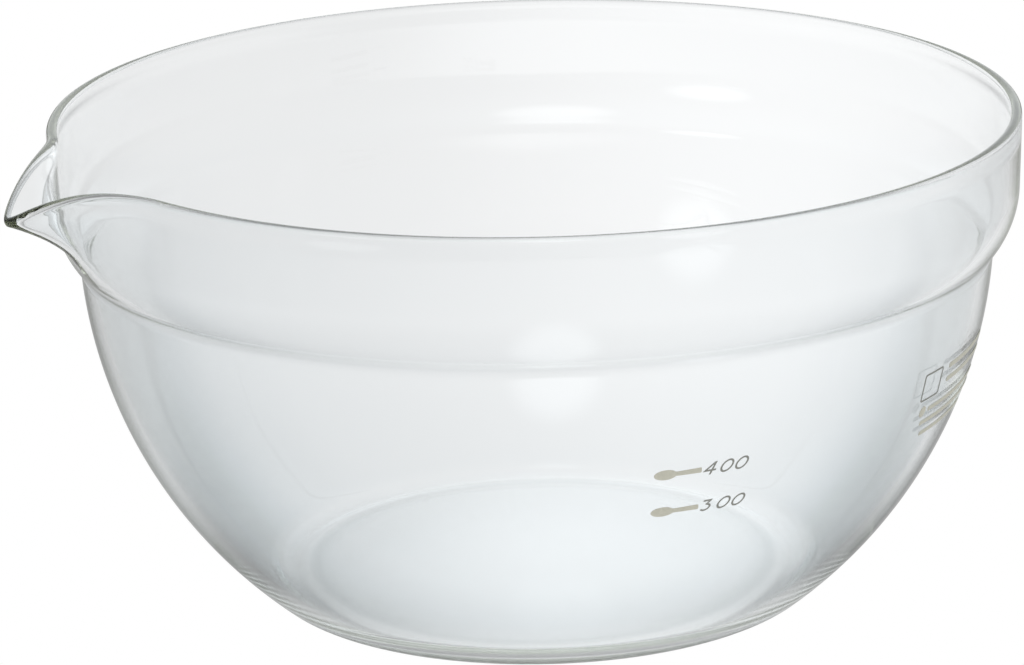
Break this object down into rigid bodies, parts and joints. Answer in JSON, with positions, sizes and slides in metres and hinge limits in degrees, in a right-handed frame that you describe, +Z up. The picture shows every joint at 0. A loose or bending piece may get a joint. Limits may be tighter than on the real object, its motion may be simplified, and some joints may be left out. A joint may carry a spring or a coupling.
{
  "type": "mixing bowl",
  "caption": "Small clear-glass mixing bowl with a stepped collar, a pulled pouring spout, a rounded rim and two printed volume levels.",
  "frame": {"origin": "on the bowl's axis, at the centre of its flat underside, which rests on the table", "axes": "+Z up along the bowl's axis; the pouring spout points along -X; the XZ plane is the glass's mirror plane"},
  "size_m": [0.1674, 0.1548, 0.0788],
  "materials": {
    "clear_glass": "polished clear, faint olive-green in thick edges",
    "grey_olive_enamel": "satin fired enamel print"
  },
  "bodies": {
    "root": {"bowl_glass": "clear_glass", "level_400_pointer": "grey_olive_enamel", "level_400_digit_1": "grey_olive_enamel", "level_400_digit_2": "grey_olive_enamel", "level_400_digit_3": "grey_olive_enamel", "level_300_pointer": "grey_olive_enamel", "level_300_digit_1": "grey_olive_enamel", "level_300_digit_2": "grey_olive_enamel", "level_300_digit_3": "grey_olive_enamel", "care_frame": "grey_olive_enamel", "care_dot": "grey_olive_enamel", "care_bar_1": "grey_olive_enamel", "care_bar_2": "grey_olive_enamel", "care_bar_3": "grey_olive_enamel", "care_bar_4": "grey_olive_enamel", "care_bar_5": "grey_olive_enamel"}
  },
  "joints": []
}
